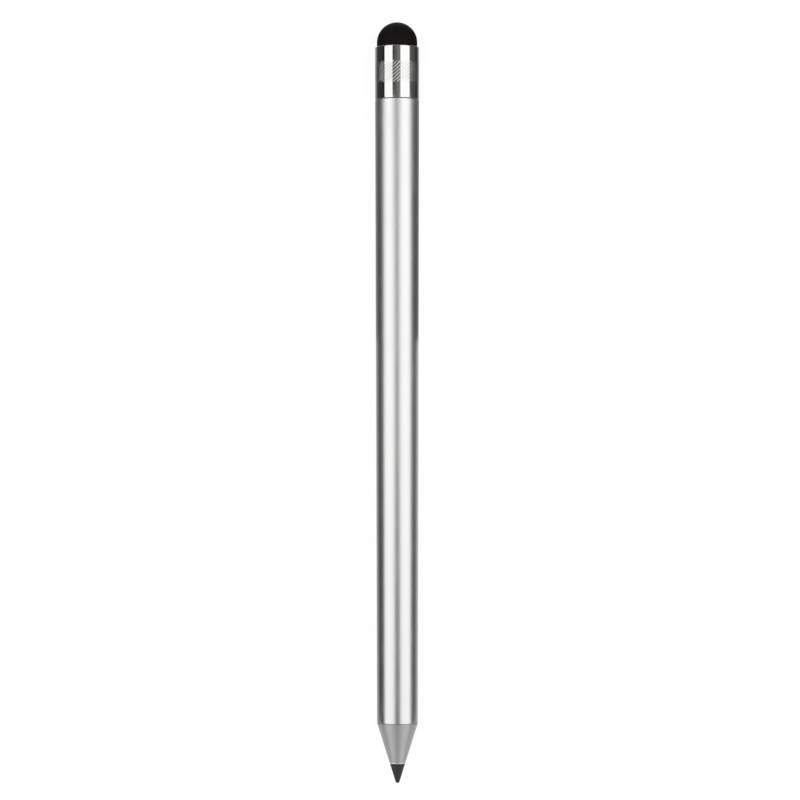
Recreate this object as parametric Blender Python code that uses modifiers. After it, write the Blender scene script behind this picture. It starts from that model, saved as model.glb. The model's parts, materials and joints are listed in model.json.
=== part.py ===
"""A dual-ended stylus pen: a soft dome at the rear and a hard point at the front.

Lengths are in metres. The pen lies on its side, its axis along +Y and its dome towards +Y.
The origin is on the surface that it lies on, under the middle of its length.
"""

import math

import bmesh
import bpy
from mathutils import Matrix

MM = 0.001

# Lengths along the pen, from the point to the crown
NIB_REACH = 3.5 * MM
NOSE_LENGTH = 7.55 * MM
BARREL_LENGTH = 113.1 * MM
FERRULE_LENGTH = 9.65 * MM
DOME_REACH = 4.5 * MM

# Barrel: a tapered tube with a straight bore
BARREL_REAR_DIAMETER = 8.0 * MM
BARREL_FRONT_DIAMETER = 7.44 * MM
BARREL_THIN_WALL = 0.52 * MM
BARREL_EDGE = 0.1 * MM

# Ferrule: a thin sleeve with a rounded rim
FERRULE_DIAMETER = 8.0 * MM
FERRULE_WALL = 0.3 * MM
FERRULE_RIM_FLAT = 0.05 * MM
FERRULE_EDGE = 0.08 * MM

# Dome and the plug that carries it
DOME_WALL = 0.9 * MM
BEAD_DEPTH = 0.3 * MM
BEAD_HEIGHT = 0.8 * MM
BEAD_RISE = 1.6 * MM
PLUG_FLANGE = 0.9 * MM
PLUG_SETBACK = 0.65 * MM
PLUG_EDGE = 0.4 * MM

# Screwed ends, with a metric thread in a bush that is pressed in the barrel
INSERT_WALL = 0.57 * MM
THREAD_PITCH = 0.8 * MM
THREAD_TURNS = 5
THREAD_FLANK = math.radians(30)
THREAD_LEAD = 0.6 * MM
SPIGOT_LENGTH = 1.0 * MM
INSERT_LENGTH = 5.0 * MM
STUD_HEAD_LENGTH = 3.0 * MM
TURNED_EDGE = 0.15 * MM

# Nose cone, sleeve and nib
NOSE_MOUTH_DIAMETER = 2.8 * MM
NOSE_LIP = 0.08 * MM
NOSE_LAND = 0.15 * MM
NOSE_STEP = 0.03 * MM
NOSE_THROAT = 2.6 * MM
SLEEVE_WALL = 0.4 * MM
SLEEVE_LENGTH = 8.0 * MM
STEM_DIAMETER = 1.84 * MM
STEM_LENGTH = 10.0 * MM
STEM_EDGE = 0.12 * MM
NIB_TIP_RADIUS = 0.4 * MM
NIB_STEP = 0.02 * MM

# Clearances
SEAM_GAP = 0.05 * MM
PRESS_GAP = 0.03 * MM
TURN_GAP = 0.05 * MM
THREAD_GAP = 0.1 * MM
INSERT_GAP = 0.1 * MM

# Mesh resolution
FACETS = 32
DOME_ARC_STEPS = 9
SMALL_ARC_STEPS = 4
MERGE_DISTANCE = 0.001 * MM
SHARP_ANGLE = math.radians(35)

# Sizes that follow from the ones above
PEN_LENGTH = NIB_REACH + NOSE_LENGTH + BARREL_LENGTH + FERRULE_LENGTH + DOME_REACH
REST_HEIGHT = max(FERRULE_DIAMETER, BARREL_REAR_DIAMETER, BARREL_FRONT_DIAMETER) / 2
BARREL_REAR_RADIUS = BARREL_REAR_DIAMETER / 2
BARREL_FRONT_RADIUS = BARREL_FRONT_DIAMETER / 2
BORE_RADIUS = min(BARREL_REAR_RADIUS, BARREL_FRONT_RADIUS) - BARREL_THIN_WALL
FERRULE_RADIUS = FERRULE_DIAMETER / 2
FERRULE_BORE_RADIUS = FERRULE_RADIUS - FERRULE_WALL
DOME_RADIUS = FERRULE_BORE_RADIUS - PRESS_GAP
DOME_INNER_RADIUS = DOME_RADIUS - DOME_WALL
INSERT_RADIUS = BORE_RADIUS - PRESS_GAP
THREAD_RADIUS = INSERT_RADIUS - INSERT_WALL - THREAD_GAP
THREAD_CREST = THREAD_PITCH / 8
THREAD_ROOT = THREAD_PITCH / 4
THREAD_DEPTH = (THREAD_PITCH - THREAD_CREST - THREAD_ROOT) / 2 / math.tan(THREAD_FLANK)
THREAD_END = -(SPIGOT_LENGTH + THREAD_LEAD)
THREAD_START = THREAD_END - THREAD_TURNS * THREAD_PITCH
SHANK_RADIUS = THREAD_RADIUS - THREAD_DEPTH
SHANK_END = THREAD_START - THREAD_LEAD
SPIGOT_RADIUS = BORE_RADIUS - TURN_GAP
INSERT_TOP = -(SPIGOT_LENGTH + INSERT_GAP)
STEM_RADIUS = STEM_DIAMETER / 2
STEM_BORE_RADIUS = STEM_RADIUS + PRESS_GAP
SLEEVE_RADIUS = STEM_BORE_RADIUS + SLEEVE_WALL
NOSE_MOUTH_RADIUS = NOSE_MOUTH_DIAMETER / 2

# Facets lie on the true radius, so the corners between them lie a little outside it.
CORNER_FACTOR = 1 / math.cos(math.pi / FACETS)
HALF_FACET = math.pi / FACETS


def clear_scene():
    """Remove every object that is in the file."""
    for obj in list(bpy.data.objects):
        bpy.data.objects.remove(obj)


def new_collection(name):
    """Make a collection in the scene."""
    collection = bpy.data.collections.new(name)
    bpy.context.scene.collection.children.link(collection)
    return collection


def finish(name, colour, roughness, metallic=0.0):
    """Make a plain Principled material."""
    material = bpy.data.materials.new(name)
    material.use_nodes = True
    shader = material.node_tree.nodes["Principled BSDF"]
    shader.inputs["Base Color"].default_value = (*colour, 1.0)
    shader.inputs["Roughness"].default_value = roughness
    shader.inputs["Metallic"].default_value = metallic
    return material


def arc(centre, radius, start, end, steps):
    """Points (r, z) on an arc about centre, from one angle to another, ends included."""
    angles = [start + (end - start) * i / steps for i in range(steps + 1)]
    return [(centre[0] + radius * math.cos(a), centre[1] + radius * math.sin(a)) for a in angles]


def spun_mesh(name, profile, closed, pitch=0.0, turns=1):
    """Turn a profile of (r, z) points about Z, or sweep it along a helix of the given pitch."""
    outline = bpy.data.meshes.new(name)
    points = [(radius * CORNER_FACTOR, 0.0, z) for radius, z in profile]
    edges = [(i, i + 1) for i in range(len(points) - 1)]
    if closed:
        edges.append((len(points) - 1, 0))
    outline.from_pydata(points, edges, [])
    blank = bpy.data.objects.new(name, outline)
    bpy.context.scene.collection.objects.link(blank)
    screw = blank.modifiers.new("turn", "SCREW")
    screw.axis = "Z"
    screw.steps = FACETS
    screw.render_steps = FACETS
    screw.iterations = turns
    screw.screw_offset = pitch
    screw.use_merge_vertices = pitch == 0
    screw.merge_threshold = MERGE_DISTANCE
    graph = bpy.context.evaluated_depsgraph_get()
    mesh = bpy.data.meshes.new_from_object(blank.evaluated_get(graph))
    mesh.name = name
    bpy.data.objects.remove(blank)
    bpy.data.meshes.remove(outline)
    work = bmesh.new()
    work.from_mesh(mesh)
    bmesh.ops.holes_fill(work, edges=work.edges)
    bmesh.ops.recalc_face_normals(work, faces=work.faces)
    work.to_mesh(mesh)
    work.free()
    mesh.shade_smooth()
    mesh.set_sharp_from_angle(angle=SHARP_ANGLE)
    return mesh


def turned_piece(name, profile, closed, parent, material):
    """Make one turned piece, whose origin is its parent's, on the pen's axis."""
    mesh = spun_mesh(name, profile, closed)
    mesh.materials.append(material)
    piece = bpy.data.objects.new(name, mesh)
    piece.parent = parent
    PARTS.objects.link(piece)
    return piece


def thread_tool(name, major_radius, start, turns, parent):
    """Make the helical tooth of the thread, as a hidden shape to join to a shank or cut from a bush."""
    # The tooth goes on below its root, at the same slope, so that it joins or cuts cleanly.
    height = THREAD_DEPTH + THREAD_CREST
    half_crest = THREAD_CREST / 2
    half_foot = half_crest + height * math.tan(THREAD_FLANK)
    tooth = [
        (major_radius, start + half_crest),
        (major_radius, start - half_crest),
        (major_radius - height, start - half_foot),
        (major_radius - height, start + half_foot),
    ]
    tool = bpy.data.objects.new(name, spun_mesh(name, tooth, True, THREAD_PITCH, turns))
    tool.parent = parent
    tool.hide_render = True
    tool.display_type = "WIRE"
    TOOLS.objects.link(tool)
    return tool


def apply_tool(piece, tool, operation):
    """Join a tool to a piece, or cut it out."""
    boolean = piece.modifiers.new(tool.name, "BOOLEAN")
    boolean.object = tool
    boolean.operation = operation
    boolean.solver = "EXACT"


def add_male_thread(piece):
    """Put the thread on a piece's shank."""
    tool = thread_tool(piece.name + "_thread", THREAD_RADIUS, THREAD_START, THREAD_TURNS, piece.parent)
    apply_tool(piece, tool, "UNION")


def shank_profile():
    """The spigot and the shank below it, from the seat on the barrel's end to the shank's end."""
    return [
        (SPIGOT_RADIUS, SEAM_GAP),
        (SPIGOT_RADIUS, TURNED_EDGE - SPIGOT_LENGTH),
        (SPIGOT_RADIUS - TURNED_EDGE, -SPIGOT_LENGTH),
        (SHANK_RADIUS, -SPIGOT_LENGTH),
        (SHANK_RADIUS, SHANK_END + TURNED_EDGE),
        (SHANK_RADIUS - TURNED_EDGE, SHANK_END),
    ]


def threaded_insert(name, parent):
    """A brass bush pressed in the barrel's end, with the thread cut through it."""
    bore = SHANK_RADIUS + THREAD_GAP
    bottom = INSERT_TOP - INSERT_LENGTH
    profile = [
        (INSERT_RADIUS - TURNED_EDGE, INSERT_TOP),
        (INSERT_RADIUS, INSERT_TOP - TURNED_EDGE),
        (INSERT_RADIUS, bottom + TURNED_EDGE),
        (INSERT_RADIUS - TURNED_EDGE, bottom),
        (bore, bottom),
        (bore, INSERT_TOP),
    ]
    insert = turned_piece(name, profile, True, parent, BRASS)
    turns_below = math.ceil((THREAD_START - bottom) / THREAD_PITCH) + 1
    turns_above = math.ceil((INSERT_TOP - THREAD_END) / THREAD_PITCH) + 1
    turns = turns_below + THREAD_TURNS + turns_above
    start = THREAD_START - turns_below * THREAD_PITCH
    tool = thread_tool(name + "_thread", THREAD_RADIUS + THREAD_GAP, start, turns, parent)
    apply_tool(insert, tool, "DIFFERENCE")


def barrel_tube(parent):
    """The barrel, from its front end upwards."""
    profile = [
        (BARREL_REAR_RADIUS - BARREL_EDGE, BARREL_LENGTH),
        (BARREL_REAR_RADIUS, BARREL_LENGTH - BARREL_EDGE),
        (BARREL_FRONT_RADIUS, BARREL_EDGE),
        (BARREL_FRONT_RADIUS - BARREL_EDGE, 0.0),
        (BORE_RADIUS, 0.0),
        (BORE_RADIUS, BARREL_LENGTH),
    ]
    turned_piece("barrel_tube", profile, True, parent, SATIN_ALUMINIUM)


def ferrule(parent):
    """The sleeve that holds the soft tip, from the barrel's rear end to its rim."""
    rim_round = FERRULE_WALL - FERRULE_RIM_FLAT
    rim_centre = (FERRULE_RADIUS - rim_round, FERRULE_LENGTH - rim_round)
    profile = [
        (FERRULE_BORE_RADIUS, FERRULE_LENGTH),
        *arc(rim_centre, rim_round, math.pi / 2, 0.0, SMALL_ARC_STEPS),
        (FERRULE_RADIUS, SEAM_GAP + FERRULE_EDGE),
        (FERRULE_RADIUS - FERRULE_EDGE, SEAM_GAP),
        (FERRULE_BORE_RADIUS, SEAM_GAP),
    ]
    turned_piece("ferrule", profile, True, parent, CHROME)


def head_stud(parent):
    """The stud pressed in the ferrule, which screws the head to the barrel."""
    radius = FERRULE_BORE_RADIUS - PRESS_GAP
    profile = [
        (0.0, STUD_HEAD_LENGTH),
        (radius - TURNED_EDGE, STUD_HEAD_LENGTH),
        (radius, STUD_HEAD_LENGTH - TURNED_EDGE),
        (radius, SEAM_GAP),
        *shank_profile(),
        (0.0, SHANK_END),
    ]
    add_male_thread(turned_piece("head_stud", profile, False, parent, BRASS))


def tip_plug(parent):
    """The moulded plug above the stud, whose post holds the dome by a groove."""
    flange_radius = FERRULE_BORE_RADIUS - TURN_GAP
    post_radius = DOME_INNER_RADIUS - PRESS_GAP
    groove_radius = post_radius - BEAD_DEPTH
    base = STUD_HEAD_LENGTH + SEAM_GAP
    flange_top = base + PLUG_FLANGE
    post_top = FERRULE_LENGTH - PLUG_SETBACK
    groove_bottom = flange_top + BEAD_RISE
    groove_top = groove_bottom + BEAD_HEIGHT + 2 * SEAM_GAP
    profile = [
        (0.0, post_top),
        (post_radius - PLUG_EDGE, post_top),
        (post_radius, post_top - PLUG_EDGE),
        (post_radius, groove_top),
        (groove_radius, groove_top),
        (groove_radius, groove_bottom),
        (post_radius, groove_bottom),
        (post_radius, flange_top),
        (flange_radius, flange_top),
        (flange_radius, base),
        (0.0, base),
    ]
    turned_piece("tip_plug", profile, False, parent, BLACK_PLASTIC)


def rubber_dome(parent):
    """The hollow rubber dome, with a skirt in the ferrule and a bead in the plug's groove."""
    centre = (0.0, FERRULE_LENGTH + DOME_REACH - DOME_RADIUS)
    skirt_bottom = STUD_HEAD_LENGTH + SEAM_GAP + PLUG_FLANGE + SEAM_GAP
    bead_bottom = skirt_bottom + BEAD_RISE
    bead_radius = DOME_INNER_RADIUS - BEAD_DEPTH
    profile = [
        *arc(centre, DOME_RADIUS, math.pi / 2, 0.0, DOME_ARC_STEPS),
        (DOME_RADIUS, skirt_bottom),
        (DOME_INNER_RADIUS, skirt_bottom),
        (DOME_INNER_RADIUS, bead_bottom),
        (bead_radius, bead_bottom),
        (bead_radius, bead_bottom + BEAD_HEIGHT),
        (DOME_INNER_RADIUS, bead_bottom + BEAD_HEIGHT),
        *arc(centre, DOME_INNER_RADIUS, 0.0, math.pi / 2, DOME_ARC_STEPS),
    ]
    turned_piece("rubber_dome", profile, False, parent, RUBBER)


def nose_cone(parent):
    """The cone that screws in the barrel's front end, bored for the nib's stem and its sleeve."""
    top_radius = BARREL_FRONT_RADIUS - NOSE_STEP
    sleeve_bore = SLEEVE_RADIUS + TURN_GAP
    throat = NOSE_LENGTH - NOSE_THROAT
    profile = [
        (NOSE_MOUTH_RADIUS - NOSE_LIP, NOSE_LENGTH),
        (NOSE_MOUTH_RADIUS, NOSE_LENGTH - NOSE_LIP),
        (top_radius, SEAM_GAP + NOSE_LAND),
        (top_radius, SEAM_GAP),
        *shank_profile(),
        (sleeve_bore, SHANK_END),
        (sleeve_bore, throat),
        (STEM_BORE_RADIUS, throat),
        (STEM_BORE_RADIUS, NOSE_LENGTH),
    ]
    add_male_thread(turned_piece("nose_cone", profile, True, parent, MATTE_ALUMINIUM))


def nib_sleeve(parent):
    """The moulded sleeve in the nose cone, which grips the nib's stem."""
    top = NOSE_LENGTH - NOSE_THROAT - SEAM_GAP
    profile = [
        (SLEEVE_RADIUS, top),
        (SLEEVE_RADIUS, top - SLEEVE_LENGTH),
        (STEM_BORE_RADIUS, top - SLEEVE_LENGTH),
        (STEM_BORE_RADIUS, top),
    ]
    turned_piece("nib_sleeve", profile, True, parent, WHITE_PLASTIC)


def nib(parent):
    """The hard point: a cone with a rounded tip, on a stem."""
    seat = NOSE_LENGTH + SEAM_GAP
    shoulder = NOSE_MOUTH_RADIUS - NIB_STEP
    stem_end = NOSE_LENGTH - STEM_LENGTH
    tip_centre = NOSE_LENGTH + NIB_REACH - NIB_TIP_RADIUS
    # The cone's side runs from the shoulder to where it just touches the round tip.
    rise = tip_centre - seat
    slope = math.atan2(shoulder, rise) - math.asin(NIB_TIP_RADIUS / math.hypot(shoulder, rise))
    profile = [
        *arc((0.0, tip_centre), NIB_TIP_RADIUS, math.pi / 2, slope, SMALL_ARC_STEPS),
        (shoulder, seat),
        (STEM_RADIUS, seat),
        (STEM_RADIUS, stem_end + STEM_EDGE),
        (STEM_RADIUS - STEM_EDGE, stem_end),
        (0.0, stem_end),
    ]
    turned_piece("nib", profile, False, parent, DARK_PLASTIC)


def empty(name, matrix, parent=None):
    """Make an empty that carries pieces."""
    carrier = bpy.data.objects.new(name, None)
    carrier.parent = parent
    carrier.matrix_local = matrix
    PARTS.objects.link(carrier)
    return carrier


clear_scene()
PARTS = new_collection("stylus_pen")
TOOLS = new_collection("stylus_pen_tools")

SATIN_ALUMINIUM = finish("satin_aluminium", (0.72, 0.72, 0.73), 0.28, 1.0)
MATTE_ALUMINIUM = finish("matte_aluminium", (0.42, 0.42, 0.42), 0.5, 1.0)
CHROME = finish("chrome", (0.78, 0.78, 0.8), 0.06, 1.0)
BRASS = finish("brass", (0.68, 0.5, 0.22), 0.3, 1.0)
RUBBER = finish("black_rubber", (0.01, 0.01, 0.01), 0.6)
DARK_PLASTIC = finish("dark_plastic", (0.04, 0.04, 0.038), 0.45)
BLACK_PLASTIC = finish("black_plastic", (0.015, 0.015, 0.015), 0.5)
WHITE_PLASTIC = finish("white_plastic", (0.75, 0.74, 0.7), 0.45)

# Local Z of the axis runs along the pen towards the dome, and a flat facet faces down.
lay_down = Matrix.Rotation(-math.pi / 2, 4, "X") @ Matrix.Rotation(HALF_FACET, 4, "Z")
pen_axis = empty("pen_axis", Matrix.Translation((0.0, 0.0, REST_HEIGHT)) @ lay_down)
front_station = NIB_REACH + NOSE_LENGTH - PEN_LENGTH / 2
rear_station = front_station + BARREL_LENGTH

# At each end of the barrel, local Z points outwards from its end face.
barrel_end = empty("barrel_front", Matrix.Translation((0.0, 0.0, front_station)), pen_axis)
head_end = empty("head", Matrix.Translation((0.0, 0.0, rear_station)), pen_axis)
turn_round = Matrix.Rotation(math.pi, 4, "X")
nose_end = empty("nose", Matrix.Translation((0.0, 0.0, front_station)) @ turn_round, pen_axis)

barrel_tube(barrel_end)
threaded_insert("rear_insert", head_end)
threaded_insert("front_insert", nose_end)
head_stud(head_end)
ferrule(head_end)
tip_plug(head_end)
rubber_dome(head_end)
nose_cone(nose_end)
nib_sleeve(nose_end)
nib(nose_end)
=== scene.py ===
"""Looks of a dual-ended stylus pen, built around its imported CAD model.

Lengths are in metres, in the frame of the CAD model: the pen lies along +Y with its soft dome
at the +Y end, and its axis runs AXIS_HEIGHT above the surface that it lies on.
"""

from __future__ import annotations

import json
import logging
import math
from dataclasses import dataclass
from enum import Enum
from pathlib import Path
from typing import ClassVar

import bmesh
import bpy
from bmesh.types import BMesh, BMVert
from bpy.types import Material, Mesh, Node, NodeSocket, NodeTree, Object
from mathutils import Matrix, Vector
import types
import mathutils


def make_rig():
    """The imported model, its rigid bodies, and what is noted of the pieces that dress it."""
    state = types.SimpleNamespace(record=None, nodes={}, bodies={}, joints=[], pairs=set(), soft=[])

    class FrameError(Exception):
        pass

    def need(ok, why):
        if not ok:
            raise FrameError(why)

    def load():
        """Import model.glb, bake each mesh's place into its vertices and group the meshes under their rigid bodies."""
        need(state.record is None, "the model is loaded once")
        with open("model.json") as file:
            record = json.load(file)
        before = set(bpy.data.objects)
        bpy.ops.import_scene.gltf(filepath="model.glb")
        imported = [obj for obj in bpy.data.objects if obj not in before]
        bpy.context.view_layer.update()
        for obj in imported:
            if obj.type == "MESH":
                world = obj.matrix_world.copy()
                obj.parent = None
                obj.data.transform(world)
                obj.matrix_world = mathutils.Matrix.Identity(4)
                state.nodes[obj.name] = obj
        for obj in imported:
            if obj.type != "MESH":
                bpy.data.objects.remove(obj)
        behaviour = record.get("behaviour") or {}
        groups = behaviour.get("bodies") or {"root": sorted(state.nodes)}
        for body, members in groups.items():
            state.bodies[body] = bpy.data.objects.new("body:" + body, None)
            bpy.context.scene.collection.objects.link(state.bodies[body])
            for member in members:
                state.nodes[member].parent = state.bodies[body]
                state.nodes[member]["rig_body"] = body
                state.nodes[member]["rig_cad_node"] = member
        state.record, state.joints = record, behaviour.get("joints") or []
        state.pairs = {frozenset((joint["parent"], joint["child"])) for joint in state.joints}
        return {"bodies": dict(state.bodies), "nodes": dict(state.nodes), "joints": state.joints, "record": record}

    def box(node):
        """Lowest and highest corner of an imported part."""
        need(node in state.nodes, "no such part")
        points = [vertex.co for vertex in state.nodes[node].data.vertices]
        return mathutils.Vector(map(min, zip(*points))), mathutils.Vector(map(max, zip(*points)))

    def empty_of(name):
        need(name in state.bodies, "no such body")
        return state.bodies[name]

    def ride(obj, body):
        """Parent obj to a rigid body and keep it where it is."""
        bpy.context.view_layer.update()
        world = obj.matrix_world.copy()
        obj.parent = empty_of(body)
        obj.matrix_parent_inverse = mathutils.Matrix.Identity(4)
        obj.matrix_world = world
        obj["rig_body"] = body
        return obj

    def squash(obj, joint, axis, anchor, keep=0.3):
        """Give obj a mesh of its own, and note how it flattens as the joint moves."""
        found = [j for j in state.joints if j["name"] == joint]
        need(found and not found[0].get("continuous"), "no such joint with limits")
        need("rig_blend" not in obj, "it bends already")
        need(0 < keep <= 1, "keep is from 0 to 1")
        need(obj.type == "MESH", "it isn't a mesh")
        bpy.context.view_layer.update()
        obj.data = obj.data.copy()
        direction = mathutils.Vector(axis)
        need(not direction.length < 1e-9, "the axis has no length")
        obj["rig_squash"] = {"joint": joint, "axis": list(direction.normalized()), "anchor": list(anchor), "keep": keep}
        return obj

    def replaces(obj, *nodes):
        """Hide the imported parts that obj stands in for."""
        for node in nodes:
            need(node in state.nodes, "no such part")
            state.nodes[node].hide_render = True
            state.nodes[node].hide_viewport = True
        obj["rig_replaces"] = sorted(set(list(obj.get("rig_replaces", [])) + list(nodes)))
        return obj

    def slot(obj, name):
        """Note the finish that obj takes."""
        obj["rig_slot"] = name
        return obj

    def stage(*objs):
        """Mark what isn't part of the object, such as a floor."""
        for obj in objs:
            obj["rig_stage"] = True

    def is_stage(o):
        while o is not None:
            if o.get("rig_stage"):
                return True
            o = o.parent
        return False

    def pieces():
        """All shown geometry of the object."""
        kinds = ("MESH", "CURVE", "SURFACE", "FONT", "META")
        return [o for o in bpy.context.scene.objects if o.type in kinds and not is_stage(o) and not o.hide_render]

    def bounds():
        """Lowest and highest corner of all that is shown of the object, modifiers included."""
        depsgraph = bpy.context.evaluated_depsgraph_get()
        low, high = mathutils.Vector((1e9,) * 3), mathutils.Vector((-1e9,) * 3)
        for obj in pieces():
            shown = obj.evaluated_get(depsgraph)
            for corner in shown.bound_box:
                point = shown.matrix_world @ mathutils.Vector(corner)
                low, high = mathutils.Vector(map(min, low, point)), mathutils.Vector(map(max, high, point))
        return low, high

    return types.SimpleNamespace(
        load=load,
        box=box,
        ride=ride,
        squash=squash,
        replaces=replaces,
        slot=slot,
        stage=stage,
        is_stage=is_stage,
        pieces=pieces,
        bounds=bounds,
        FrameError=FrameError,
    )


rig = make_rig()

MM = 0.001
AXIS_HEIGHT = 4.0 * MM
AXIS_POINT = Vector((0.0, 0.0, AXIS_HEIGHT))
AXIS = Vector((0.0, 1.0, 0.0))
FULL_TURN = 2 * math.pi
QUARTER_TURN = math.pi / 2
SIZE_FILE = Path("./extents.json")
LOG = logging.getLogger("stylus_pen")

Colour = tuple[float, float, float]
Point = tuple[float, float, float]


class Body(Enum):
    """CAD bodies that the pieces ride on."""

    BARREL = "barrel"
    HEAD_CORE = "head_core"
    HEAD_SHELL = "head_shell"
    SOFT_TIP = "soft_tip"
    NOSE_CORE = "nose_core"
    NOSE_SHELL = "nose_shell"
    POINT = "point"


class Slot(Enum):
    """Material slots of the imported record."""

    SATIN_ALUMINIUM = "satin_aluminium"
    MATTE_ALUMINIUM = "matte_aluminium"
    CHROME = "chrome"
    BRASS = "brass"
    BLACK_RUBBER = "black_rubber"
    DARK_PLASTIC = "dark_plastic"
    BLACK_PLASTIC = "black_plastic"
    WHITE_PLASTIC = "white_plastic"


class Grain(Enum):
    """Directions of a surface's fine marks, as lines per metre across and along the pen."""

    LENGTHWISE = (9000.0, 45.0)
    TURNED = (120.0, 9000.0)
    BLASTED = (9000.0, 9000.0)
    MOULDED = (5000.0, 5000.0)


class Cut(Enum):
    """What a thread's tooth does to the piece that carries it."""

    RAISED = "UNION"
    SUNK = "DIFFERENCE"


# Shader nodes


class Shading:
    """Adds nodes to one node tree and links them."""

    def __init__(self, tree: NodeTree) -> None:
        """Keep the tree that the nodes go in."""
        self.tree = tree

    def add(self, kind: str, **settings: object) -> Node:
        """Add a node.

        Args:
            kind: the node's type name, without its ShaderNode prefix.
            settings: attributes to set on the node.

        Returns:
            The new node.
        """
        prefix = "" if kind.startswith("NodeGroup") else "ShaderNode"
        node = self.tree.nodes.new(prefix + kind)
        for name, value in settings.items():
            setattr(node, name, value)
        return node

    def feed(self, node: Node, **inputs: NodeSocket | float | tuple[float, ...]) -> Node:
        """Link or set a node's inputs.

        Args:
            node: the node whose inputs are fed.
            inputs: socket names, with underscores for spaces, and what each one takes.

        Returns:
            The same node.
        """
        for name, source in inputs.items():
            self.connect(source, node.inputs[name.replace("_", " ")])
        return node

    def connect(self, source: NodeSocket | float | tuple[float, ...], socket: NodeSocket) -> None:
        """Link an input to another node, or set its value.

        Args:
            source: the other node's output, or the value.
            socket: the input that takes it.
        """
        if isinstance(source, NodeSocket):
            self.tree.links.new(source, socket)
        else:
            socket.default_value = source

    def math(self, operation: str, first: NodeSocket | float, second: NodeSocket | float) -> NodeSocket:
        """Add a Math node of two inputs.

        Args:
            operation: what the node works out.
            first: what its first input takes.
            second: what its second input takes.

        Returns:
            The node's output.
        """
        node = self.add("Math", operation=operation)
        self.connect(first, node.inputs[0])
        self.connect(second, node.inputs[1])
        return node.outputs["Value"]

    def blend(self, mask: NodeSocket, first: NodeSocket | Colour, second: Colour) -> NodeSocket:
        """Add a mix of two colours.

        Args:
            mask: 0 where the first colour shows, and 1 where the second does.
            first: the first colour, or the output of another mix.
            second: the second colour.

        Returns:
            The mixed colour.
        """
        node = self.add("Mix", data_type="RGBA")
        start = first if isinstance(first, NodeSocket) else (*first, 1.0)
        self.feed(node, Factor=mask, A=start, B=(*second, 1.0))
        return node.outputs["Result"]


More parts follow.
